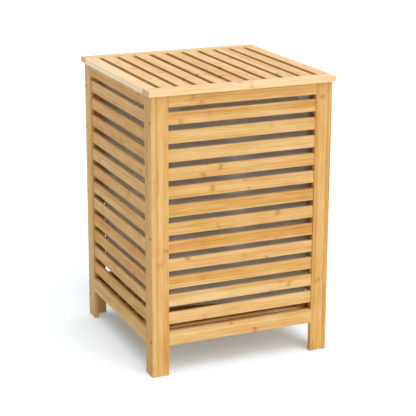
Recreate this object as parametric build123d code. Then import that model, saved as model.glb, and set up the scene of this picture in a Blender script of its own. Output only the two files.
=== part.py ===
from build123d import *
import os

# Bamboo laundry hamper with a hinged slatted lid and a hanging laundry bag.
# Millimetres, +Z up.  Origin: on the floor, under the middle of the body.
# The front faces -Y.

# ---- driving dimensions -------------------------------------------------
body_width = 400.0          # across the side frames, X
body_depth = 400.0          # over the front and back panels, Y
leg_height = 588.0          # stiles run from the floor to the lid
side_stock = 10.0           # thickness of the left and right frames
panel_stock = 12.0          # thickness of the front and back panels
leg_face = 37.0             # width of a leg seen on any face
edge_radius = 1.2           # eased edges of stiles and rails

top_rail_height = 24.0
bottom_rail_low = 65.0
bottom_rail_top = 95.5
rail_tenon = 8.0            # length of a rail's tongue inside a stile
tenon_shoulder = 4.0        # rail height cut away above and below a tongue

slat_count = 12
slat_height = 25.5
slat_pitch = 37.9
first_slat_low = 528.0      # underside of the uppermost slat
slat_stock = 6.0
slat_recess = 2.5           # slats stand back from the panel's outer face
slat_tongue = 6.0           # length of a slat's end inside a stile
slat_radius = 1.0

lid_overhang = 6.0
lid_gap = 0.3               # play between the legs and the closed lid
lid_stock = 11.7
lid_cross_rail = 31.0       # front and back rails of the lid, Y
lid_side_rail = 27.5        # left and right rails of the lid, X
lid_slat_count = 9
lid_slat_gap = 10.5
lid_tongue = 7.0            # tongues of lid slats and lid side rails
lid_tongue_stock = 5.0
side_tongue_inset = 4.0     # a side rail's tongue is this much narrower on each side
slat_tongue_inset = 3.0     # the same for a lid slat

floor_slat_count = 7
floor_slat_width = 42.0
floor_slat_stock = 6.0
floor_top = 79.0
floor_slat_end_gap = 0.5    # to the side frames
floor_slat_edge_gap = 1.5   # to the front and back panels
batten_width = 12.0
batten_height = 8.0
batten_radius = 0.8

bag_half_width = 166.0
bag_half_depth = 178.0
bag_bottom = 122.0
bag_top = 566.0
bag_wall = 3.0
bag_corner = 10.0
tab_width = 25.0
tab_stock = 1.5
tab_offset = 145.0          # tabs stand this far each side of the middle
tab_low = 530.0
tab_bend_low = 4.0          # below the bag's top, where a tab leaves it on the outside
tab_bend_inner = 3.0        # the same on the inside
tab_meets_pad = 2.0         # above a pad's lower end, outside
tab_end_gap = 1.0           # below a pad's upper end
pad_width = 30.0
pad_stock = 1.5
pad_low = 567.0
pad_high = 586.0

hinge_offset = 110.0        # hinges stand this far each side of the middle
hinge_length = 40.0
hinge_leaf = 20.0
hinge_stock = 1.2
knuckle_radius = 2.5
knuckle_zone = 9.0          # reach of the blocks that divide the barrel into knuckles
neck_overlap = 1.0          # the lid leaf's neck runs this far into its plate
leaf_play = 0.2             # round a leaf that is let into wood or stops below the lid
bore_overrun = 1.0          # a through bore is cut this far past each end
knuckle_middle = 13.4       # length of the lid's knuckle
knuckle_play = 0.3          # axial play at each side of the lid's knuckle
pin_radius = 1.5
pin_clearance = 0.05        # radial, in the lid's knuckle
mortise_play = 0.4
pivot_setback = 1.5         # pin axis behind the back panel's face
hinge_screw_spacing = 26.0
hinge_screw_drop = 12.0     # from the pin axis to the screws of a leaf

frame_screw_heights = (76.0, 297.0, 536.0)
frame_screw = (2.0, 3.6, 26.0)      # shank radius, head radius, length
leaf_screw_frame = (1.4, 2.9, 11.0)
leaf_screw_lid = (1.4, 2.9, 9.5)
batten_screw = (1.4, 2.8, 19.0)
batten_screw_places = (-130.0, 0.0, 130.0)
head_recess = 0.8           # frame screw heads lie below the wood
head_rim = 0.5
point_radius = 0.3
recess_span = 1.2           # cross recess length, in head radii
recess_width = 0.7
recess_depth = 0.8

# ---- sizes that follow --------------------------------------------------
half_width = body_width / 2
half_depth = body_depth / 2
panel_width = body_width - 2 * side_stock
cross_stile = leg_face - side_stock
lid_bottom = leg_height + lid_gap
lid_half_width = half_width + lid_overhang
lid_half_depth = half_depth + lid_overhang
lid_inner_width = 2 * (lid_half_width - lid_side_rail)
lid_slat_width = (lid_inner_width - (lid_slat_count + 1) * lid_slat_gap) / lid_slat_count
pivot_y = half_depth + pivot_setback
pivot_z = leg_height + lid_gap / 2


# ---- helpers ------------------------------------------------------------
def block(x, y, z):
    """Rectangular solid between the given (low, high) pairs."""
    size = [high - low for low, high in (x, y, z)]
    middle = [(high + low) / 2 for low, high in (x, y, z)]
    return Pos(*middle) * Box(*size)


def eased(solid, radius, axis=None):
    """Round all edges, or only those along one axis."""
    edges = solid.edges()
    if axis is not None:
        edges = edges.filter_by(axis)
    return fillet(edges, radius)


def rod(start, direction, radius, length):
    """Round bar from a start point along a direction."""
    plane = Plane(origin=start, z_dir=direction)
    return plane * extrude(Circle(radius), length)


def screw_blank(start, direction, radius, head_radius, length):
    """Wood screw with a conical head, before its cross recess is cut."""
    head_depth = head_radius - radius
    plane = Plane(origin=start, z_dir=direction)
    profile = [
        (0, 0),
        (head_radius, 0),
        (head_radius, head_rim),
        (radius, head_rim + head_depth),
        (radius, length - 2 * radius),
        (point_radius, length),
        (0, length),
    ]
    face = make_face(Polyline(*profile, close=True))
    return plane * revolve(Plane.XZ * face, Axis.Z)


def finished_screw(start, direction, radius, head_radius, length):
    """The blank with its cross recess."""
    screw = screw_blank(start, direction, radius, head_radius, length)
    plane = Plane(origin=start, z_dir=direction)
    for turn in (0, 90):
        slot = Box(head_radius * recess_span, recess_width, 2 * recess_depth)
        screw -= plane * (Rot(0, 0, turn) * slot)
    return screw


def save(name, shape):
    """Write one node; a list becomes a group of separate solids."""
    if isinstance(shape, (list, tuple)):
        shape = Compound(children=list(shape))
    shape.label = name
    export_step(shape, f"parts/{name}.step")


# ---- one upright panel, outer face on y = 0 looking along -Y ------------
def slat_low(index):
    return first_slat_low - index * slat_pitch


def panel_parts(width, stile, stock):
    """Stiles, rails and slats of a panel centred on x = 0."""
    half = width / 2
    inner = half - stile
    tongue = ((stock - slat_stock) / 2, (stock + slat_stock) / 2)
    slat_depth = (slat_recess, slat_recess + slat_stock)
    rails = {
        "top_rail": (leg_height - top_rail_height, leg_height),
        "bottom_rail": (bottom_rail_low, bottom_rail_top),
    }
    parts = {}
    cutters = []
    for name, (low, high) in rails.items():
        rail = eased(block((-inner, inner), (0, stock), (low, high)), edge_radius, Axis.X)
        reach = inner + rail_tenon
        tenon = block((-reach, reach), tongue, (low + tenon_shoulder, high - tenon_shoulder))
        parts[name] = rail + tenon
        cutters.append(tenon)
    slats = []
    for index in range(slat_count):
        low = slat_low(index)
        reach = inner + slat_tongue
        slat = block((-reach, reach), slat_depth, (low, low + slat_height))
        slat = eased(slat, slat_radius, Axis.X)
        slats.append(slat)
        cutters.append(slat)
    parts["slats"] = slats
    for name, side in (("left_stile", -1), ("right_stile", 1)):
        across = sorted((side * half, side * inner))
        post = eased(block(across, (0, stock), (0, leg_height)), edge_radius)
        for cutter in cutters:
            post -= cutter
        parts[name] = post
    return parts


def placed(parts, location):
    return {
        name: [location * one for one in shape] if isinstance(shape, list) else location * shape
        for name, shape in parts.items()
    }


# ---- screws -------------------------------------------------------------
def frame_screws(side):
    """Six screws through one side frame into the front and back panels, and their holes."""
    screws = []
    holes = []
    face = side * half_width
    start_x = face - side * head_recess
    for end in (-1, 1):
        y = end * (half_depth - panel_stock / 2)
        for z in frame_screw_heights:
            inward = (-side, 0, 0)
            start = (start_x, y, z)
            screws.append(finished_screw(start, inward, *frame_screw))
            holes.append(screw_blank(start, inward, *frame_screw))
            holes.append(rod((face, y, z), inward, frame_screw[1], head_recess + head_rim))
    return screws, holes


# ---- hinges -------------------------------------------------------------
def hinge_parts(x):
    """Butt hinge: frame leaf, lid leaf, pin, screws and the wood cut away for them."""
    half = hinge_length / 2
    gap_half = knuckle_middle / 2 + knuckle_play
    clear = knuckle_radius + mortise_play
    barrel = rod((x - half, pivot_y, pivot_z), (1, 0, 0), knuckle_radius, hinge_length)
    zone_y = (pivot_y - knuckle_zone, pivot_y + knuckle_zone)
    middle_zone = block(
        (x - gap_half, x + gap_half), zone_y, (pivot_z - clear, pivot_z + knuckle_zone)
    )
    own_zone = block(
        (x - knuckle_middle / 2, x + knuckle_middle / 2),
        zone_y,
        (pivot_z - knuckle_zone, pivot_z + knuckle_zone),
    )
    frame_plate = block(
        (x - half, x + half),
        (half_depth, half_depth + hinge_stock),
        (pivot_z - hinge_leaf, pivot_z - leaf_play),
    )
    frame_leaf = frame_plate + barrel - middle_zone
    frame_leaf -= rod(
        (x - half - bore_overrun, pivot_y, pivot_z),
        (1, 0, 0),
        pin_radius,
        hinge_length + 2 * bore_overrun,
    )

    lid_plate = block(
        (x - half, x + half),
        (pivot_y - hinge_leaf, pivot_y - clear),
        (lid_bottom, lid_bottom + hinge_stock),
    )
    lid_neck = block(
        (x - knuckle_middle / 2, x + knuckle_middle / 2),
        (pivot_y - clear - neck_overlap, pivot_y),
        (lid_bottom, lid_bottom + hinge_stock),
    )
    lid_leaf = lid_plate + lid_neck + (barrel & own_zone)
    lid_leaf -= rod(
        (x - half, pivot_y, pivot_z), (1, 0, 0), pin_radius + pin_clearance, hinge_length
    )
    pin = rod((x - half, pivot_y, pivot_z), (1, 0, 0), pin_radius, hinge_length)

    leaf_screws = {"frame": [], "lid": []}
    leaf_holes = {"frame": [], "lid": []}
    for side in (-1, 1):
        along = x + side * hinge_screw_spacing / 2
        frame_start = (along, half_depth + hinge_stock, pivot_z - hinge_screw_drop)
        lid_start = (along, pivot_y - hinge_screw_drop, lid_bottom)
        for leaf, start, inward, size in (
            ("frame", frame_start, (0, -1, 0), leaf_screw_frame),
            ("lid", lid_start, (0, 0, 1), leaf_screw_lid),
        ):
            leaf_screws[leaf].append(finished_screw(start, inward, *size))
            leaf_holes[leaf].append(screw_blank(start, inward, *size))
    for hole in leaf_holes["frame"]:
        frame_leaf -= hole
    for hole in leaf_holes["lid"]:
        lid_leaf -= hole
    groove = rod(
        (x - half - mortise_play, pivot_y, pivot_z), (1, 0, 0), clear, hinge_length + 2 * mortise_play
    )
    recess = block(
        (x - half - leaf_play, x + half + leaf_play),
        (pivot_y - hinge_leaf - leaf_play, pivot_y),
        (lid_bottom - bore_overrun, lid_bottom + hinge_stock),
    )
    return {
        "frame_leaf": frame_leaf,
        "lid_leaf": lid_leaf,
        "pin": pin,
        "screws": leaf_screws,
        "frame_cuts": leaf_holes["frame"] + [groove],
        "lid_cuts": leaf_holes["lid"] + [groove, recess],
    }


# ---- lid ----------------------------------------------------------------
def lid_parts():
    """Lid frame with front-to-back slats, all flush at the top."""
    inner_x = lid_half_width - lid_side_rail
    inner_y = lid_half_depth - lid_cross_rail
    level = (lid_bottom, lid_bottom + lid_stock)
    tongue_low = lid_bottom + (lid_stock - lid_tongue_stock) / 2
    tongue_level = (tongue_low, tongue_low + lid_tongue_stock)
    tongue_y = inner_y + lid_tongue
    parts = {}
    cutters = []
    for name, side in (("lid_left_rail", -1), ("lid_right_rail", 1)):
        across = sorted((side * inner_x, side * lid_half_width))
        rail = eased(block(across, (-inner_y, inner_y), level), edge_radius, Axis.Y)
        near = side * (inner_x + side_tongue_inset)
        far = side * (lid_half_width - side_tongue_inset)
        tongue = block(sorted((near, far)), (-tongue_y, tongue_y), tongue_level)
        parts[name] = rail + tongue
        cutters.append(tongue)
    for index in range(lid_slat_count):
        low = -inner_x + lid_slat_gap + index * (lid_slat_width + lid_slat_gap)
        across = (low, low + lid_slat_width)
        slat = eased(block(across, (-inner_y, inner_y), level), slat_radius, Axis.Y)
        within = (low + slat_tongue_inset, low + lid_slat_width - slat_tongue_inset)
        tongue = block(within, (-tongue_y, tongue_y), tongue_level)
        parts[f"lid_slat_{index + 1:02d}"] = slat + tongue
        cutters.append(tongue)
    for name, side in (("lid_front_rail", -1), ("lid_back_rail", 1)):
        along = sorted((side * inner_y, side * lid_half_depth))
        rail = eased(block((-lid_half_width, lid_half_width), along, level), edge_radius)
        for cutter in cutters:
            rail -= cutter
        parts[name] = rail
    return parts


# ---- floor --------------------------------------------------------------
def floor_parts():
    inner_x = half_width - side_stock
    inner_y = half_depth - panel_stock
    batten_top = floor_top - floor_slat_stock
    parts = {}
    screws = []
    holes = []
    for name, side in (("left_floor_batten", -1), ("right_floor_batten", 1)):
        across = sorted((side * inner_x, side * (inner_x - batten_width)))
        batten = block(across, (-inner_y, inner_y), (batten_top - batten_height, batten_top))
        batten = eased(batten, batten_radius, Axis.Y)
        for y in batten_screw_places:
            start = (side * (inner_x - batten_width), y, batten_top - batten_height / 2)
            screws.append(finished_screw(start, (side, 0, 0), *batten_screw))
            holes.append(screw_blank(start, (side, 0, 0), *batten_screw))
            batten -= holes[-1]
        parts[name] = batten
    reach = inner_x - floor_slat_end_gap
    first = -inner_y + floor_slat_edge_gap
    pitch = (-2 * first - floor_slat_width) / (floor_slat_count - 1)
    slats = []
    for index in range(floor_slat_count):
        low = first + index * pitch
        slat = block((-reach, reach), (low, low + floor_slat_width), (batten_top, floor_top))
        slats.append(eased(slat, slat_radius, Axis.X))
    parts["floor_slats"] = slats
    parts["floor_screws"] = screws
    return parts, holes


# ---- bag ----------------------------------------------------------------
def bag_parts():
    """Open-topped bag, its four fastening tabs and the hook pads they press on."""
    wide = 2 * bag_half_width
    deep = 2 * bag_half_depth
    outer = extrude(RectangleRounded(wide, deep, bag_corner), bag_top - bag_bottom)
    inner = extrude(
        RectangleRounded(wide - 2 * bag_wall, deep - 2 * bag_wall, bag_corner - bag_wall),
        bag_top - bag_bottom,
    )
    bag = Pos(0, 0, bag_bottom) * outer - Pos(0, 0, bag_bottom + bag_wall) * inner
    face = bag_half_depth
    rail = half_depth - panel_stock
    pad_face = rail - pad_stock
    tab_outline = [
        (face, tab_low),
        (face + tab_stock, tab_low),
        (face + tab_stock, bag_top - tab_bend_low),
        (pad_face, pad_low + tab_meets_pad),
        (pad_face, pad_high - tab_end_gap),
        (pad_face - tab_stock, pad_high - tab_end_gap),
        (pad_face - tab_stock, pad_low + tab_meets_pad + tab_end_gap),
        (face, bag_top - tab_bend_inner),
    ]
    tabs = []
    pads = []
    for end in (-1, 1):
        outline = [(0, end * y, z) for y, z in tab_outline]
        for side in (-1, 1):
            x = side * tab_offset
            face_shape = make_face(Polyline(*outline, close=True))
            strap = extrude(face_shape, amount=tab_width / 2, dir=(1, 0, 0), both=True)
            tabs.append(Pos(x, 0, 0) * strap)
            depth = sorted((end * rail, end * pad_face))
            pads.append(block((x - pad_width / 2, x + pad_width / 2), depth, (pad_low, pad_high)))
    return {"laundry_bag": bag, "bag_tabs": tabs, "hook_pads": pads}


# ---- whole hamper -------------------------------------------------------
def build():
    nodes = {}
    cross = panel_parts(panel_width, cross_stile, panel_stock)
    side = panel_parts(body_depth, leg_face, side_stock)
    places = {
        "front": (cross, Pos(0, -half_depth, 0)),
        "back": (cross, Pos(0, half_depth, 0) * Rot(0, 0, 180)),
        "left": (side, Pos(-half_width, 0, 0) * Rot(0, 0, -90)),
        "right": (side, Pos(half_width, 0, 0) * Rot(0, 0, 90)),
    }
    stile_names = {
        "front": ("front_left_stile", "front_right_stile"),
        "back": ("back_right_stile", "back_left_stile"),
        "left": ("left_back_stile", "left_front_stile"),
        "right": ("right_front_stile", "right_back_stile"),
    }
    for name, (parts, location) in places.items():
        here = placed(parts, location)
        nodes[f"{name}_top_rail"] = here["top_rail"]
        nodes[f"{name}_bottom_rail"] = here["bottom_rail"]
        nodes[stile_names[name][0]] = here["left_stile"]
        nodes[stile_names[name][1]] = here["right_stile"]
        if name == "front":
            for index, slat in enumerate(here["slats"]):
                nodes[f"front_slat_{index + 1:02d}"] = slat
        else:
            nodes[f"{name}_slats"] = here["slats"]

    for name, direction in (("left", -1), ("right", 1)):
        screws, holes = frame_screws(direction)
        nodes[f"{name}_frame_screws"] = screws
        stiles = (
            f"front_{name}_stile",
            f"back_{name}_stile",
            f"{name}_front_stile",
            f"{name}_back_stile",
        )
        for stile in stiles:
            for hole in holes:
                nodes[stile] -= hole

    floor_nodes, floor_holes = floor_parts()
    nodes.update(floor_nodes)
    for hole in floor_holes:
        for name in ("left_bottom_rail", "right_bottom_rail"):
            nodes[name] -= hole
    nodes.update(bag_parts())
    nodes.update(lid_parts())

    pins = []
    frame_leaf_screws = []
    lid_leaf_screws = []
    for name, side_sign in (("left", -1), ("right", 1)):
        hinge = hinge_parts(side_sign * hinge_offset)
        nodes[f"{name}_hinge_frame_leaf"] = hinge["frame_leaf"]
        nodes[f"{name}_hinge_lid_leaf"] = hinge["lid_leaf"]
        pins.append(hinge["pin"])
        frame_leaf_screws += hinge["screws"]["frame"]
        lid_leaf_screws += hinge["screws"]["lid"]
        for cutter in hinge["frame_cuts"]:
            nodes["back_top_rail"] -= cutter
        for cutter in hinge["lid_cuts"]:
            nodes["lid_back_rail"] -= cutter
    nodes["hinge_pins"] = pins
    nodes["hinge_frame_screws"] = frame_leaf_screws
    nodes["hinge_lid_screws"] = lid_leaf_screws
    return nodes


os.makedirs("parts", exist_ok=True)
for node_name, node_shape in build().items():
    save(node_name, node_shape)
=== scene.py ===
import bpy
import math
import random

from mathutils import Matrix, Vector


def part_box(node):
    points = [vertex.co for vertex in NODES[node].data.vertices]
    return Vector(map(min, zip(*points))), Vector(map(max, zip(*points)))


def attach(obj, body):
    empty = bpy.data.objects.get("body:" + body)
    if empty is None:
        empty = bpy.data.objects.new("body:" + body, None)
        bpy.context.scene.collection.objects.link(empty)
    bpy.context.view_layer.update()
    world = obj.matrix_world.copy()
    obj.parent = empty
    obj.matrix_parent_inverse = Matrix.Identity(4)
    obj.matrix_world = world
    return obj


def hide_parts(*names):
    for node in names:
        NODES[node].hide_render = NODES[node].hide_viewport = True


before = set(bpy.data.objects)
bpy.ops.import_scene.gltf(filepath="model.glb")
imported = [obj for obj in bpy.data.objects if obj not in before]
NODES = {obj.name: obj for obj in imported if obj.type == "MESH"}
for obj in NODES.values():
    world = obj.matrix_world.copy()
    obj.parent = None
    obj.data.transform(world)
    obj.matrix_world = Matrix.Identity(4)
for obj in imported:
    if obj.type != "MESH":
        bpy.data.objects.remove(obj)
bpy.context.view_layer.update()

FRAME_BODY = "hamper_frame"
MM = 0.001


# ---- camera, floor and light ---------------------------------------------
CAMERA_YAW = math.radians(23.73)
CAMERA_DROP = math.radians(15.47)
CAMERA_ROLL = math.radians(0.23)
CAMERA_AIM = Vector((0.0144, 0.0107, 0.3561))
CAMERA_DISTANCE = 2.907
FLOOR_SPAN = 60.0
FLOOR_COLOUR = (0.91, 0.935, 0.96, 1)
FLOOR_GLOW_COLOUR = (0.55, 0.85, 1, 1)
FLOOR_GLOW = 0.2
SURROUND_LEVEL = 0.24
SURROUND_SLOPE = (0.22, 0.24, 0.08)    # how much brighter towards +X, +Y and +Z


def make_camera():
    """View from the front left, looking down at about 15 degrees."""
    yaw, drop, roll = CAMERA_YAW, CAMERA_DROP, CAMERA_ROLL
    forward = Vector((math.sin(yaw) * math.cos(drop), math.cos(yaw) * math.cos(drop), -math.sin(drop)))
    level = Vector((math.cos(yaw), -math.sin(yaw), 0))
    lift = level.cross(forward)
    right = level * math.cos(roll) + lift * math.sin(roll)
    up = lift * math.cos(roll) - level * math.sin(roll)
    data = bpy.data.cameras.new("camera")
    data.lens = 115.4
    data.sensor_width = 36
    data.shift_y = -0.08
    camera = bpy.data.objects.new("camera", data)
    turn = Matrix((right, up, -forward)).transposed().to_4x4()
    camera.matrix_world = Matrix.Translation(CAMERA_AIM - forward * CAMERA_DISTANCE) @ turn
    bpy.context.collection.objects.link(camera)
    bpy.context.scene.camera = camera


def soft_sun(name, place, power, spread):
    """Sun lamp with a wide disc, so its shadows are soft, shining from a place towards the origin."""
    data = bpy.data.lights.new(name, "SUN")
    data.energy = power
    data.angle = math.radians(spread)
    lamp = bpy.data.objects.new(name, data)
    lamp.location = place
    lamp.rotation_euler = (-Vector(place)).to_track_quat("-Z", "Y").to_euler()
    bpy.context.collection.objects.link(lamp)


def make_stage():
    """Pale floor, graded surround, a soft key from high in front and a soft top light."""
    bpy.ops.mesh.primitive_plane_add(size=FLOOR_SPAN)
    floor = bpy.context.object
    floor.name = "studio_floor"
    material = bpy.data.materials.new("studio_floor")
    material.use_nodes = True
    shader = material.node_tree.nodes["Principled BSDF"]
    shader.inputs["Base Color"].default_value = FLOOR_COLOUR
    shader.inputs["Roughness"].default_value = 0.9
    shader.inputs["Specular IOR Level"].default_value = 0.1
    shader.inputs["Emission Color"].default_value = FLOOR_GLOW_COLOUR
    shader.inputs["Emission Strength"].default_value = FLOOR_GLOW
    floor.data.materials.append(material)
    make_surround()
    soft_sun("key", place=(0.35, -1.8, 1.75), power=1.85, spread=60)
    soft_sun("top", place=(-0.1, -0.1, 3.0), power=1.65, spread=70)


def make_surround():
    """White studio surround, brighter behind the hamper and darker on its left."""
    world = bpy.data.worlds.new("studio")
    world.use_nodes = True
    nodes, links = world.node_tree.nodes, world.node_tree.links
    direction = nodes.new("ShaderNodeTexCoord").outputs["Generated"]
    slope = nodes.new("ShaderNodeVectorMath")
    slope.operation = "DOT_PRODUCT"
    slope.inputs[1].default_value = SURROUND_SLOPE
    links.new(direction, slope.inputs[0])
    strength = nodes.new("ShaderNodeMath")
    strength.operation = "ADD"
    strength.inputs[1].default_value = SURROUND_LEVEL
    links.new(slope.outputs["Value"], strength.inputs[0])
    sky = nodes["Background"]
    sky.inputs["Color"].default_value = (1, 1, 1, 1)
    links.new(strength.outputs[0], sky.inputs["Strength"])
    bpy.context.scene.world = world
    bpy.context.scene.view_settings.view_transform = "Standard"


# ---- node helpers --------------------------------------------------------
class Graph:
    """Short calls for building one material's nodes."""

    def __init__(self, name):
        self.material = bpy.data.materials.new(name)
        self.material.use_nodes = True
        self.tree = self.material.node_tree
        self.shader = self.tree.nodes["Principled BSDF"]

    def plug(self, target, value):
        if isinstance(value, bpy.types.NodeSocket):
            self.tree.links.new(value, target)
        else:
            target.default_value = value

    def node(self, kind, inputs=(), **settings):
        made = self.tree.nodes.new(kind)
        for key, value in settings.items():
            setattr(made, key, value)
        for key, value in dict(inputs).items():
            self.plug(made.inputs[key], value)
        return made

    def math(self, operation, first, second=0.0):
        return self.node("ShaderNodeMath", {0: first, 1: second}, operation=operation).outputs[0]

    def noise(self, vector, detail, roughness):
        inputs = {"Vector": vector, "Scale": 1.0, "Detail": detail, "Roughness": roughness}
        return self.node("ShaderNodeTexNoise", inputs).outputs["Fac"]

    def scaled(self, vector, scale, shift=(0, 0, 0)):
        inputs = {"Vector": vector, "Scale": scale, "Location": shift}
        return self.node("ShaderNodeMapping", inputs).outputs[0]

    def random(self, value):
        return self.node("ShaderNodeTexWhiteNoise", {"W": value}, noise_dimensions="1D").outputs["Value"]

    def spread(self, value, low, high, to_low, to_high):
        inputs = {0: value, 1: low, 2: high, 3: to_low, 4: to_high}
        return self.node("ShaderNodeMapRange", inputs, clamp=True).outputs[0]

    def ramp(self, value, stops):
        made = self.node("ShaderNodeValToRGB", {"Fac": value})
        elements = made.color_ramp.elements
        while len(elements) < len(stops):
            elements.new(0.5)
        for element, (place, colour) in zip(elements, stops):
            element.position = place
            element.color = (*colour, 1)
        return made.outputs["Color"]

    def blend(self, factor, first, second):
        inputs = {0: factor, 6: first, 7: second}
        return self.node("ShaderNodeMix", inputs, data_type="RGBA").outputs[2]

    def weighted(self, *pairs):
        """Sum of values, each times its weight."""
        total = self.math("MULTIPLY", *pairs[0])
        for value, weight in pairs[1:]:
            total = self.math("ADD", total, self.math("MULTIPLY", value, weight))
        return total

    def bump(self, height, distance, strength=1.0):
        inputs = {"Height": height, "Distance": distance, "Strength": strength}
        self.plug(self.shader.inputs["Normal"], self.node("ShaderNodeBump", inputs).outputs[0])


# ---- bamboo --------------------------------------------------------------
STRIP = 13 * MM              # width of one laminated strip
JOINT_SPACING = 0.40         # between the node marks along a strip
JOINT_WANDER = 0.022         # how unevenly a node mark crosses its strip
# Each layer of grain: its scale along and across the fibres, detail and roughness.
FIBRE = (22, 900, 3, 0.65)
STREAK = (3.5, 380, 4, 0.62)
BAND = (2.2, 95, 2, 0.5)
CLOUD = (13, 40, 2, 0.5)
SHADE_OFFSET = 0.90          # centres the summed grain on the colour ramp
RELIEF = 0.12 * MM
LID_GLOSS = 0.22
FLOOR_SLATS = 7
GLOSSY_SPECULAR = 0.2
MATT_SPECULAR = 0.04         # low, so that the floor's glare does not pale the sides
HONEY = [
    (0.0, (0.44, 0.165, 0.030)),
    (0.28, (0.60, 0.285, 0.070)),
    (0.52, (0.70, 0.390, 0.132)),
    (0.75, (0.76, 0.490, 0.215)),
    (1.0, (0.82, 0.590, 0.325)),
]
LID_TINT = (1.15, 1.21, 1.36)
PLAIN_TINT = (1.0, 1.0, 1.0)
JOINT_BROWN = (0.34, 0.115, 0.028, 1)
JOINT_ORANGE = (0.58, 0.255, 0.066, 1)
END_GRAIN = [(0.1, (0.27, 0.105, 0.030)), (0.6, (0.62, 0.34, 0.12))]


def per_axis(grain, along, across):
    return tuple(along if axis == grain else across for axis in range(3))


def tinted(ramp, tint):
    """The ramp with each colour multiplied by tint, kept below white."""
    return [(at, tuple(min(0.95, part * by) for part, by in zip(colour, tint))) for at, colour in ramp]


def grain_layer(g, point, grain, shift, layer):
    along, across, detail, roughness = layer
    return g.noise(g.scaled(point, per_axis(grain, along, across), shift), detail, roughness)


def joint_marks(g, along, strip_shift, weight):
    """A narrow and a wide band at each node of the bamboo, both 0 to 1."""
    turn = g.math("ADD", g.math("DIVIDE", along, JOINT_SPACING), strip_shift)
    away = g.math("ABSOLUTE", g.math("SUBTRACT", g.math("FRACT", turn), 0.5))
    narrow = g.math("MULTIPLY", g.spread(away, 0.0, 0.012, 1.0, 0.0), weight)
    wide = g.math("MULTIPLY", g.spread(away, 0.004, 0.026, 1.0, 0.0), weight)
    return narrow, wide


def with_end_grain(g, place, grain, colour):
    """Dotted, darker colour where a face looks along the fibres."""
    facing = g.node("ShaderNodeSeparateXYZ", {0: place["Normal"]}).outputs[grain]
    on_end = g.spread(g.math("ABSOLUTE", facing), 0.6, 0.85, 0.0, 1.0)
    dots_in = {"Vector": place["Object"], "Scale": 1250.0}
    dots = g.node("ShaderNodeTexVoronoi", dots_in).outputs["Distance"]
    return g.blend(g.math("MULTIPLY", on_end, 0.7), colour, g.ramp(dots, END_GRAIN))


def varied_bars(g, parts, bars, seed, tone, start):
    """Tone and start of the node marks, different for each bar of a row in one node."""
    axis, first, spacing = bars
    bar = g.math("FLOOR", g.math("DIVIDE", g.math("SUBTRACT", parts[axis], first), spacing))
    own = g.random(g.math("ADD", bar, seed))
    tone = g.spread(own, 0.0, 1.0, tone - 0.07, tone + 0.09)
    return tone, g.math("ADD", start, g.math("MULTIPLY", own, 5.3))


def bamboo(name, grain, face, tone, tint, gloss, bars=None):
    """Laminated bamboo.

    grain and face are the axes along the fibres and across the strips.
    tint multiplies its colours and gloss is the weight of its clear coat.
    bars is (axis, first edge, spacing) where one node holds a row of bars.
    """
    g = Graph(name)
    dice = random.Random(name)
    seed = dice.uniform(0, 40)
    shift = (seed, seed * 1.7, seed * 0.6)
    place = g.node("ShaderNodeTexCoord").outputs
    point = place["Object"]
    parts = g.node("ShaderNodeSeparateXYZ", {0: point}).outputs
    start = dice.uniform(3, 9)
    if bars:
        tone, start = varied_bars(g, parts, bars, seed, tone, start)
    layers = (FIBRE, STREAK, BAND, CLOUD)
    fibre, streak, band, cloud = [grain_layer(g, point, grain, shift, layer) for layer in layers]
    strip = g.math("FLOOR", g.math("DIVIDE", g.math("ADD", parts[face], seed * STRIP), STRIP))
    strip_tone = g.random(g.math("ADD", strip, seed))
    strip_shift = g.random(g.math("ADD", strip, seed + 91.7))
    weight = g.spread(g.random(g.math("ADD", strip, seed + 37.1)), 0.2, 0.9, 0.15, 1.0)
    wander = g.math("MULTIPLY", g.math("SUBTRACT", cloud, 0.5), JOINT_WANDER)
    along = g.math("ADD", g.math("ADD", parts[grain], wander), start)
    joint, joint_wide = joint_marks(g, along, strip_shift, weight)

    shade = g.weighted((fibre, 0.95), (streak, 0.75), (band, 0.50), (cloud, 0.42), (strip_tone, 0.22))
    shade = g.math("ADD", g.math("SUBTRACT", shade, SHADE_OFFSET), tone)
    colour = g.ramp(shade, tinted(HONEY, tint))
    colour = g.blend(g.math("MULTIPLY", joint_wide, 0.62), colour, JOINT_ORANGE)
    smudge = g.math("MULTIPLY", joint, g.spread(streak, 0.35, 0.65, 0.70, 0.15))
    colour = g.blend(smudge, colour, JOINT_BROWN)
    g.plug(g.shader.inputs["Base Color"], with_end_grain(g, place, grain, colour))
    g.plug(g.shader.inputs["Roughness"], g.spread(fibre, 0.25, 0.75, 0.36, 0.52))
    g.shader.inputs["Coat Weight"].default_value = gloss
    g.shader.inputs["Coat Roughness"].default_value = 0.3
    g.shader.inputs["Specular IOR Level"].default_value = GLOSSY_SPECULAR if gloss else MATT_SPECULAR
    g.bump(g.math("ADD", fibre, g.math("MULTIPLY", joint, 0.8)), RELIEF, 0.5)
    return g.material


# ---- metal ---------------------------------------------------------------
def brushed_metal(name, colour, worn, roughness):
    """Metal with fine scratches and duller rubbed patches."""
    g = Graph(name)
    point = g.node("ShaderNodeTexCoord").outputs["Object"]
    scratch = g.noise(g.scaled(point, (3800, 260, 900)), 4, 0.7)
    patch = g.noise(g.scaled(point, (240, 240, 240)), 3, 0.6)
    tint = g.ramp(patch, [(0.3, worn), (0.65, colour)])
    g.plug(g.shader.inputs["Base Color"], tint)
    g.shader.inputs["Metallic"].default_value = 1.0
    g.plug(g.shader.inputs["Roughness"], g.spread(scratch, 0.3, 0.7, roughness - 0.1, roughness + 0.1))
    g.bump(scratch, 0.03 * MM, 0.5)
    return g.material


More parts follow.
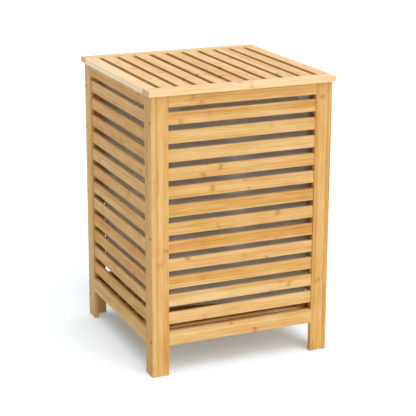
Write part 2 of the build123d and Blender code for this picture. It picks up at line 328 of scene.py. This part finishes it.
# ---- cloth ---------------------------------------------------------------
def woven(name, pale, dark, thread, sheen=0.35):
    """Plain weave: two crossed sets of threads over slubs and a soft mottle."""
    g = Graph(name)
    point = g.node("ShaderNodeTexCoord").outputs["Object"]
    parts = g.node("ShaderNodeSeparateXYZ", {0: point}).outputs
    turns = 2 * math.pi / thread
    level = g.math("ADD", parts[0], parts[1])
    warp = g.math("SINE", g.math("MULTIPLY", level, turns))
    weft = g.math("SINE", g.math("MULTIPLY", parts[2], turns))
    weave = g.math("MULTIPLY", warp, weft)
    slub = g.noise(g.scaled(point, (420, 420, 16)), 3, 0.7)
    cross_slub = g.noise(g.scaled(point, (16, 16, 420)), 3, 0.7)
    mottle = g.noise(g.scaled(point, (11, 11, 11)), 3, 0.5)
    shade = g.weighted((slub, 0.34), (cross_slub, 0.24), (mottle, 0.30), (weave, 0.07))
    g.plug(g.shader.inputs["Base Color"], g.ramp(shade, [(0.22, dark), (0.62, pale)]))
    g.plug(g.shader.inputs["Roughness"], g.spread(slub, 0.3, 0.7, 0.78, 0.92))
    g.shader.inputs["Sheen Weight"].default_value = sheen
    g.shader.inputs["Sheen Roughness"].default_value = 0.5
    relief = g.math("ADD", g.math("MULTIPLY", weave, 0.5), slub)
    g.bump(relief, 0.18 * MM, 0.6)
    return g.material


def hook_tape(name):
    """Tape covered in small hooks."""
    g = Graph(name)
    point = g.node("ShaderNodeTexCoord").outputs["Object"]
    dots = g.node("ShaderNodeTexVoronoi", {"Vector": point, "Scale": 900.0}).outputs["Distance"]
    colour = g.ramp(dots, [(0.1, (0.86, 0.86, 0.83)), (0.6, (0.6, 0.6, 0.57))])
    g.plug(g.shader.inputs["Base Color"], colour)
    g.plug(g.shader.inputs["Roughness"], g.spread(dots, 0.1, 0.6, 0.45, 0.75))
    g.bump(dots, 0.4 * MM, 0.8)
    return g.material


def set_finish(node, finish):
    """Puts one finish in every material slot of a node."""
    materials = node.data.materials
    if not materials:
        materials.append(finish)
    for index in range(len(materials)):
        materials[index] = finish


def bamboo_bar(name):
    gloss = LID_GLOSS if name.startswith("lid_") else 0.0
    grain, face = grain_of(name)
    return bamboo("bamboo_" + name, grain, face, tone_of(name), tint_of(name), gloss, bars_of(name))


def dress_nodes():
    """Gives every CAD node its finish, apart from the two that cloth pieces replace."""
    screw_finish = brushed_metal("screw_metal", (0.25, 0.34, 0.36), (0.12, 0.17, 0.19), 0.38)
    hinge_finish = brushed_metal("hinge_metal", (0.66, 0.65, 0.62), (0.48, 0.47, 0.44), 0.32)
    tape = hook_tape("hook_tape")
    for name, node in NODES.items():
        if name.endswith("_screws"):
            set_finish(node, screw_finish)
        elif "hinge" in name:
            set_finish(node, hinge_finish)
        elif name == "hook_pads":
            set_finish(node, tape)
        elif name not in ("laundry_bag", "bag_tabs"):
            set_finish(node, bamboo_bar(name))


def grain_of(name):
    """(axis along the fibres, axis across the strips) of a bar or a set of bars."""
    low, high = (Vector(corner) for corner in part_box(name))
    size = high - low
    if name.endswith("_stile"):
        return 2, (0 if size.x > size.y else 1)
    if name == "floor_slats":
        return 0, 1
    if name in ("lid_front_rail", "lid_back_rail"):
        return 0, 1
    if name.startswith("lid_"):
        return 1, 0
    if name.endswith("floor_batten"):
        return 1, 2
    return (0 if size.x > size.y else 1), 2


def tone_of(name):
    """A lightness difference from bar to bar. The lid's front and left rails are made palest as painted
    light on those two edges, and the floor slats darkest as painted shade under the bag.
    """
    own = random.Random("tone " + name).uniform(-0.10, 0.10)
    # Painted light: the lid's front and left rails are made paler than its back and right rails,
    # standing in for the light these two edges catch.
    if name in ("lid_front_rail", "lid_left_rail"):
        return 0.34
    if name.startswith("lid_"):
        return own * 0.6 + 0.08
    # Painted shade: the floor slats, deep under the bag, are made darker than every other bar.
    if name == "floor_slats":
        return -0.25
    if name.endswith("_stile"):
        return own * 0.4 - 0.02
    return own


def tint_of(name):
    """The lid's wood is made paler than the body's."""
    return LID_TINT if name.startswith("lid_") else PLAIN_TINT


def bars_of(name):
    """(axis, first edge, spacing) of a node that holds a row of bars, so that each has its tone."""
    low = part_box(name)[0]
    if name in ("left_slats", "right_slats", "back_slats"):
        upper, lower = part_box("front_slat_01")[0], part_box("front_slat_02")[0]
        return 2, low[2] - 2 * MM, upper[2] - lower[2]
    if name == "floor_slats":
        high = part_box(name)[1]
        return 1, low[1] - 2 * MM, (high[1] - low[1]) / FLOOR_SLATS
    return None


# ---- laundry bag ---------------------------------------------------------
BAG_LOW, BAG_HIGH = (Vector(corner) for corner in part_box("laundry_bag"))
BAG_CELL = 9.0 * MM          # side of one cell of the cloth grid
BAG_CORNER = 8.0 * MM
BAG_EASE = 1.0 * MM          # the cloth starts this far wider, and its base this far up
FRONT_LEFT_TUCK = 13 * MM    # the front left corner hangs this far in from the others
BAG_HALF_X, BAG_HALF_Y = BAG_HIGH.x + BAG_EASE, BAG_HIGH.y
CELLS_X, CELLS_Y = round(2 * BAG_HALF_X / BAG_CELL), round(2 * BAG_HALF_Y / BAG_CELL)
RINGS = round((BAG_HIGH.z - BAG_LOW.z) / BAG_CELL)
EDGE_LIFT = 3 * MM           # how far the base's edge lies above its middle
CORNER_LIFT = 11 * MM        # and how much further at the front left corner
MIDDLE_BELLY, SIDE_BELLY = 10.0, 7.5       # millimetres
MOUTH_DIP = 7 * MM           # how far the mouth hangs down between the tabs
MOUTH_DRAW_X, MOUTH_DRAW_Y = 0.022, 0.010  # and how far it draws in, as a share
DRAPE_FRAMES = 26
REACH, REACH_LOST = 7, 5.8   # millimetres the cloth may move, and how much less at a corner
SIDE_ROOM = 2 * MM           # the cloth may pass the bag's sides by this much
SLAT_CLEARANCE = 4 * MM      # and stays this far from the front and back slats
HEM_DEPTH = 24 * MM
HEM_STANDOFF = 0.9 * MM
STITCH_LENGTH, STITCH_GAP, THREAD = 2.6 * MM, 1.3 * MM, 0.35 * MM
THREAD_SIDES = 6
STITCH_ARCH = ((0, 0.0), (0.25, 1.0), (0.75, 1.0), (1, 0.0))   # (along, lift) of its rings
SEAM_WIDTH, SEAM_THICKNESS = 4 * MM, 1.0 * MM
STITCH_STANDOFF, SEAM_STANDOFF = 0.9, 1.6  # millimetres
PAD_LOW, PAD_HIGH = (Vector(corner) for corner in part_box("hook_pads"))
TAB_LOW, TAB_HIGH = (Vector(corner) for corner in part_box("bag_tabs"))
TAB_WIDTH = 25 * MM
TAB_THICKNESS = 1.1 * MM
TAB_PULL = 60 * MM           # how far along the mouth a tab holds it up
TAB_FACE = BAG_HIGH.y + 0.4 * MM
PAD_THICKNESS = 1.5 * MM
LINE_STEPS = 7
SLAT_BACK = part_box("front_slat_01")[1][1]
TAB_X = (TAB_HIGH.x - TAB_LOW.x - TAB_WIDTH) / 2


def eased_step(value):
    value = max(0.0, min(1.0, value))
    return value * value * (3 - 2 * value)


def rounded(x, y):
    """Bends the corners of the rectangular grid in to a radius."""
    straight_x, straight_y = BAG_HALF_X - BAG_CORNER, BAG_HALF_Y - BAG_CORNER
    over_x, over_y = abs(x) - straight_x, abs(y) - straight_y
    if over_x > 0 and over_y > 0:
        share = max(over_x, over_y) / math.hypot(over_x, over_y)
        x = math.copysign(straight_x + over_x * share, x)
        y = math.copysign(straight_y + over_y * share, y)
    return x, y


def swell(x, z):
    """How far the front and back walls belly out at a place, in metres."""
    rise = (z - BAG_LOW.z) / (BAG_HIGH.z - BAG_LOW.z)
    upright = eased_step(rise / 0.18) * eased_step((1.04 - rise) / 0.30)
    lower = eased_step(rise / 0.12) * eased_step((0.72 - rise) / 0.25)
    middle = math.exp(-(((x + 0.008) / 0.042) ** 2))
    beside = math.exp(-(((x - 0.088) / 0.026) ** 2))
    return (MIDDLE_BELLY * middle * upright + SIDE_BELLY * beside * lower) * MM


def flat_place(i, j):
    """Where a grid point lies before the corners are rounded."""
    return -BAG_HALF_X + 2 * BAG_HALF_X * i / CELLS_X, -BAG_HALF_Y + 2 * BAG_HALF_Y * j / CELLS_Y


def edge_height(x, y):
    """How far the base's edge is lifted at a place."""
    corner = math.hypot(x / BAG_HALF_X + 1, y / BAG_HALF_Y + 1)
    return EDGE_LIFT + CORNER_LIFT * math.exp(-((corner / 0.7) ** 2))


def outline():
    """Grid places round the base's edge, from the front left corner."""
    places = [(i, 0) for i in range(CELLS_X)]
    places += [(CELLS_X, j) for j in range(CELLS_Y)]
    places += [(i, CELLS_Y) for i in range(CELLS_X, 0, -1)]
    places += [(0, j) for j in range(CELLS_Y, 0, -1)]
    return places


def bag_base():
    """Points and faces of the base, and the number of the point at each grid place."""
    points, number, faces = [], {}, []
    for i in range(CELLS_X + 1):
        for j in range(CELLS_Y + 1):
            x, y = flat_place(i, j)
            inside = min(1 - abs(x) / BAG_HALF_X, 1 - abs(y) / BAG_HALF_Y)
            lift = edge_height(x, y) * (1 - eased_step(inside / 0.35))
            number[i, j] = len(points)
            points.append((*rounded(x, y), BAG_LOW.z + BAG_EASE + lift))
    for i in range(CELLS_X):
        for j in range(CELLS_Y):
            faces.append((number[i, j], number[i, j + 1], number[i + 1, j + 1], number[i + 1, j]))
    return points, faces, number


def bag_grid():
    """Points and faces of an open-topped bag, and its wall rings from the bottom up."""
    points, faces, number = bag_base()
    below = [number[place] for place in outline()]
    levels = [below]
    for ring in range(1, RINGS + 1):
        height = ring / RINGS
        level = []
        for i, j in outline():
            x, y = flat_place(i, j)
            foot = BAG_LOW.z + BAG_EASE + edge_height(x, y)
            level.append(len(points))
            points.append((*rounded(x, y), foot + (BAG_HIGH.z - foot) * height))
        faces += joined(below, level)
        levels.append(level)
        below = level
    return points, faces, levels


def joined(below, above):
    """Faces between two closed rings of the same number of points."""
    count = len(below)
    return [
        (below[k], below[(k + 1) % count], above[(k + 1) % count], above[k])
        for k in range(count)
    ]


def mesh_object(name, points, faces, material):
    mesh = bpy.data.meshes.new(name)
    mesh.from_pydata([tuple(p) for p in points], [], faces)
    mesh.validate()
    mesh.update()
    mesh.polygons.foreach_set("use_smooth", [True] * len(mesh.polygons))
    mesh.materials.append(material)
    made = bpy.data.objects.new(name, mesh)
    bpy.context.collection.objects.link(made)
    return made


def near_tab(x, y):
    """1 at a fastening tab, falling to 0 between the tabs."""
    away = math.hypot(abs(x) - TAB_X, abs(abs(y) - BAG_HIGH.y) * 0.6)
    return max(0.0, 1 - away / TAB_PULL)


def fold(p, height, waves):
    """Moves one wall point for the folds, the belly and the tucked front left corner."""
    x, y = p.x, p.y
    outward = outward_of(p)
    along = x - y if abs(outward.x) < abs(outward.y) else y + x
    ripple = sum(math.sin(along * pitch + phase) * size for pitch, phase, size in waves)
    p += outward * ripple * MM * math.sin(math.pi * (0.12 + 0.8 * height))
    p.y += math.copysign(swell(x, p.z), y) * abs(outward.y)
    recede = eased_step((abs(x) / BAG_HIGH.x - 0.45) / 0.4) * 1.5 * MM
    p.y -= math.copysign(recede, y) * abs(outward.y) * (1 - height ** 4)
    into_corner = eased_step((-x / BAG_HIGH.x - 0.8) / 0.2)
    into_corner *= eased_step((-y / BAG_HIGH.y - 0.75) / 0.25)
    p.x += FRONT_LEFT_TUCK * into_corner


def slack_start(points, levels):
    """Starting shape: bellied walls, shallow upright folds, and a hem that dips between the tabs."""
    started = [Vector(p) for p in points]
    dice = random.Random(7)
    waves = [(dice.uniform(18, 60), dice.uniform(0, 6.28), dice.uniform(0.3, 1.1)) for _ in range(6)]
    for level_number, level in enumerate(levels):
        for index in level:
            fold(started[index], level_number / (len(levels) - 1), waves)
    for index in levels[-1]:
        p = started[index]
        slack = 1 - near_tab(p.x, p.y)
        p.z -= MOUTH_DIP * slack
        p.x *= 1 - MOUTH_DRAW_X * slack
        p.y *= 1 - MOUTH_DRAW_Y * slack
    return started


def drape(bag, levels):
    """Lets the bag hang from its hem under its own weight, then applies the result."""
    held = bag.vertex_groups.new(name="held")
    for index in levels[-1]:
        held.add([index], 1.0, "REPLACE")
    cloth = bag.modifiers.new("cloth", "CLOTH")
    settings = cloth.settings
    settings.quality = 6
    settings.mass = 0.12
    settings.tension_stiffness = 12
    settings.compression_stiffness = 9
    settings.shear_stiffness = 4
    settings.bending_stiffness = 0.35
    settings.air_damping = 2
    settings.shrink_min = -0.018
    settings.vertex_group_mass = "held"
    cloth.point_cache.frame_start = 1
    cloth.point_cache.frame_end = DRAPE_FRAMES
    scene = bpy.context.scene
    for step in range(1, DRAPE_FRAMES + 1):
        scene.frame_set(step)
    shape = bag.evaluated_get(bpy.context.evaluated_depsgraph_get()).data
    settled = [v.co.copy() for v in shape.vertices]
    bag.modifiers.remove(cloth)
    scene.frame_set(1)
    return settled


def kept_in(point, start):
    """Caps how far the cloth moved, least at the sewn corners, and keeps it clear of the slats."""
    nearness = min(abs(start.x) / BAG_HIGH.x, abs(start.y) / BAG_HIGH.y)
    reach = (REACH - REACH_LOST * eased_step((nearness - 0.72) / 0.2)) * MM
    move = point - start
    if move.length > reach:
        move *= reach / move.length
    p = start + move
    room_x, room_y = BAG_HIGH.x + SIDE_ROOM, -SLAT_BACK - SLAT_CLEARANCE
    p.x = max(-room_x, min(room_x, p.x))
    p.y = max(-room_y, min(room_y, p.y))
    p.z = max(BAG_LOW.z, p.z)
    return p


def ribbon(name, path, across, normals, width, thickness, material):
    """A flat closed band along a path of points."""
    points = []
    for p, side, normal in zip(path, across, normals):
        for a, b in ((-1, 0), (1, 0), (1, 1), (-1, 1)):
            points.append(p + side * (a * width / 2) + normal * (b * thickness))
    faces = [(0, 1, 2, 3)]
    for k in range(len(path) - 1):
        for edge in range(4):
            a, b = 4 * k + edge, 4 * k + (edge + 1) % 4
            faces.append((b, a, a + 4, b + 4))
    last = 4 * (len(path) - 1)
    faces.append((last + 3, last + 2, last + 1, last))
    return mesh_object(name, points, faces, material)


def stitches(name, path, normals, material):
    """A run of separate stitches just proud of a surface."""
    points, faces = [], []
    carried = 0.0
    for start, end, normal in zip(path, path[1:], normals):
        run = end - start
        if run.length < 1e-6:
            continue
        ahead = run.normalized()
        side = ahead.cross(normal).normalized()
        while carried < run.length:
            add_stitch(points, faces, start + ahead * carried, ahead, side, normal)
            carried += STITCH_LENGTH + STITCH_GAP
        carried -= run.length
    return mesh_object(name, points, faces, material)


def add_stitch(points, faces, at, ahead, side, normal):
    """One stitch: a short arched thread with closed ends."""
    first = len(points)
    for along, lift in STITCH_ARCH:
        centre = at + ahead * (along * STITCH_LENGTH) + normal * (lift * THREAD)
        for turn in range(THREAD_SIDES):
            angle = turn * math.pi / 3
            points.append(centre + (side * math.cos(angle) + normal * math.sin(angle)) * THREAD)
    for band in range(len(STITCH_ARCH) - 1):
        for turn in range(THREAD_SIDES):
            a = first + band * THREAD_SIDES + turn
            b = first + band * THREAD_SIDES + (turn + 1) % THREAD_SIDES
            faces.append((a, b, b + THREAD_SIDES, a + THREAD_SIDES))
    faces.append(tuple(range(first + THREAD_SIDES - 1, first - 1, -1)))
    faces.append(tuple(range(len(points) - THREAD_SIDES, len(points))))


def finish_soft(piece, node):
    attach(piece, FRAME_BODY)
    if node:
        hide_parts(node)


def thicken(piece, label, thickness, offset):
    """Gives a piece of cloth its thickness and smooths its folds."""
    shell = piece.modifiers.new(label, "SOLIDIFY")
    shell.thickness = thickness
    shell.offset = offset
    rounder = piece.modifiers.new("smooth_folds", "SUBSURF")
    rounder.levels = rounder.render_levels = 1


def make_bag():
    """The hanging bag with its hem and corner seams."""
    cloth = woven("bag_cloth", (0.68, 0.65, 0.61), (0.36, 0.33, 0.29), 0.9 * MM)
    hem_cloth = woven("bag_hem_cloth", (0.70, 0.68, 0.65), (0.42, 0.40, 0.37), 0.9 * MM)
    thread = woven("bag_thread", (0.86, 0.85, 0.83), (0.66, 0.65, 0.63), 0.4 * MM)
    points, faces, levels = bag_grid()
    started = slack_start(points, levels)
    bag = mesh_object("liner_bag", started, faces, cloth)
    settled = [kept_in(p, s) for p, s in zip(drape(bag, levels), started)]
    for vertex, p in zip(bag.data.vertices, settled):
        vertex.co = p
    bag.data.update()
    thicken(bag, "cloth_thickness", 0.7 * MM, -1)

    make_hem(settled, levels, hem_cloth, thread)
    for number, column in enumerate([0, CELLS_X, CELLS_X + CELLS_Y, 2 * CELLS_X + CELLS_Y]):
        make_corner_seam(number, [settled[level[column]] for level in levels], hem_cloth)
    finish_soft(bag, "laundry_bag")


def outward_of(point):
    """Horizontal direction out of the bag's nearest wall."""
    x, y = point.x / BAG_HIGH.x, point.y / BAG_HIGH.y
    side = Vector((x ** 9, y ** 9, 0))
    return side.normalized() if side.length > 1e-9 else Vector((0, 1, 0))


def make_hem(settled, levels, hem_cloth, thread):
    """Folded hem round the mouth with two rows of stitching."""
    rows = max(2, round(HEM_DEPTH / BAG_CELL))
    belt = levels[-1 - rows:]
    count = len(belt[0])
    points, faces = [], []
    for level in belt:
        points += [settled[i] + outward_of(settled[i]) * HEM_STANDOFF for i in level]
    for row in range(rows):
        ring = range(row * count, (row + 1) * count)
        faces += joined(ring, range((row + 1) * count, (row + 2) * count))
    hem = mesh_object("bag_hem", points, faces, hem_cloth)
    thicken(hem, "hem_thickness", 0.8 * MM, 1)
    finish_soft(hem, None)
    for label, share in (("lower", 0.14), ("upper", 0.86)):
        path, normals = [], []
        for k in range(count + 1):
            low = points[k % count]
            high = points[rows * count + k % count]
            normals.append(outward_of(low))
            path.append(low.lerp(high, share) + normals[-1] * STITCH_STANDOFF * MM)
        row = stitches("hem_stitches_" + label, path, normals, thread)
        finish_soft(row, None)


def make_corner_seam(number, column, material):
    """Narrow bound seam standing out along one upright corner."""
    path, across, normals = [], [], []
    for k, p in enumerate(column):
        out = Vector((math.copysign(1, p.x), math.copysign(1, p.y), 0)).normalized()
        wave = math.sin(k * 0.7 + number * 2.1) * 0.35
        out = (out + Vector((-out.y, out.x, 0)) * wave).normalized()
        path.append(p + out * SEAM_STANDOFF * MM)
        across.append(out)
        normals.append(Vector((-out.y, out.x, 0)))
    name = f"corner_seam_{number + 1}"
    seam = ribbon(name, path, across, normals, SEAM_WIDTH, SEAM_THICKNESS, material)
    finish_soft(seam, None)


def tab_profile():
    """(distance from the middle, height) along a tab, from the bag up to its pad."""
    pad_face = PAD_HIGH.y - PAD_THICKNESS
    return [
        (TAB_FACE, TAB_LOW.z),
        (TAB_FACE, BAG_HIGH.z - 14 * MM),
        (TAB_FACE + 0.6 * MM, BAG_HIGH.z - 6 * MM),
        (pad_face - 2.4 * MM, PAD_LOW.z),
        (pad_face - TAB_THICKNESS, PAD_LOW.z + 5 * MM),
        (pad_face - TAB_THICKNESS, PAD_HIGH.z - 2 * MM),
    ]


def tab_normals(line, end):
    """Directions out of a tab's face, away from the middle of the hamper."""
    normals = []
    for k in range(len(line)):
        ahead = line[min(k + 1, len(line) - 1)] - line[max(k - 1, 0)]
        normal = Vector((0, ahead.z, -ahead.y)).normalized()
        normals.append(normal if normal.y * end > 0 else -normal)
    return normals


def tab_sewing(end, side):
    """Corners of the sewn box and its diagonal, low on a tab."""
    places = [(-1, 4), (1, 4), (1, 20), (-1, 20), (-1, 4), (1, 20)]
    half, depth = TAB_WIDTH / 2 - 3 * MM, end * (TAB_FACE + TAB_THICKNESS)
    return [Vector((side * TAB_X + a * half, depth, TAB_LOW.z + z * MM)) for a, z in places]


def make_tab(name, end, side, webbing, thread):
    """One strap; end is -1 at the front and side is -1 on the left."""
    line = smooth_line([Vector((side * TAB_X, end * y, z)) for y, z in tab_profile()])
    across = [Vector((1, 0, 0))] * len(line)
    tab = ribbon(name, line, across, tab_normals(line, end), TAB_WIDTH, TAB_THICKNESS, webbing)
    softener = tab.modifiers.new("soft_edges", "BEVEL")
    softener.width = 0.4 * MM
    softener.segments = 2
    finish_soft(tab, "bag_tabs")
    box = tab_sewing(end, side)
    out = [Vector((0, end, 0))] * len(box)
    finish_soft(stitches(name + "_stitches", box, out, thread), None)


def make_tabs():
    """Four straps from the hem up to the hook pads on the front and back rails."""
    webbing = woven("bag_webbing", (0.85, 0.84, 0.82), (0.58, 0.57, 0.55), 1.4 * MM, 0.2)
    thread = woven("tab_thread", (0.88, 0.87, 0.85), (0.70, 0.69, 0.67), 0.4 * MM)
    for end, end_name in ((-1, "front"), (1, "back")):
        for side, side_name in ((-1, "left"), (1, "right")):
            make_tab(f"tab_{end_name}_{side_name}", end, side, webbing, thread)


def smooth_line(knots):
    """Catmull-Rom line through a few points."""
    line = []
    for k in range(len(knots) - 1):
        a, b = knots[max(k - 1, 0)], knots[k]
        c, d = knots[k + 1], knots[min(k + 2, len(knots) - 1)]
        for step in range(LINE_STEPS):
            t = step / LINE_STEPS
            line.append(
                0.5 * (2 * b + (c - a) * t + (2 * a - 5 * b + 4 * c - d) * t * t
                       + (3 * b - a - 3 * c + d) * t ** 3)
            )
    line.append(knots[-1])
    return line


make_camera()
make_stage()
dress_nodes()
make_bag()
make_tabs()
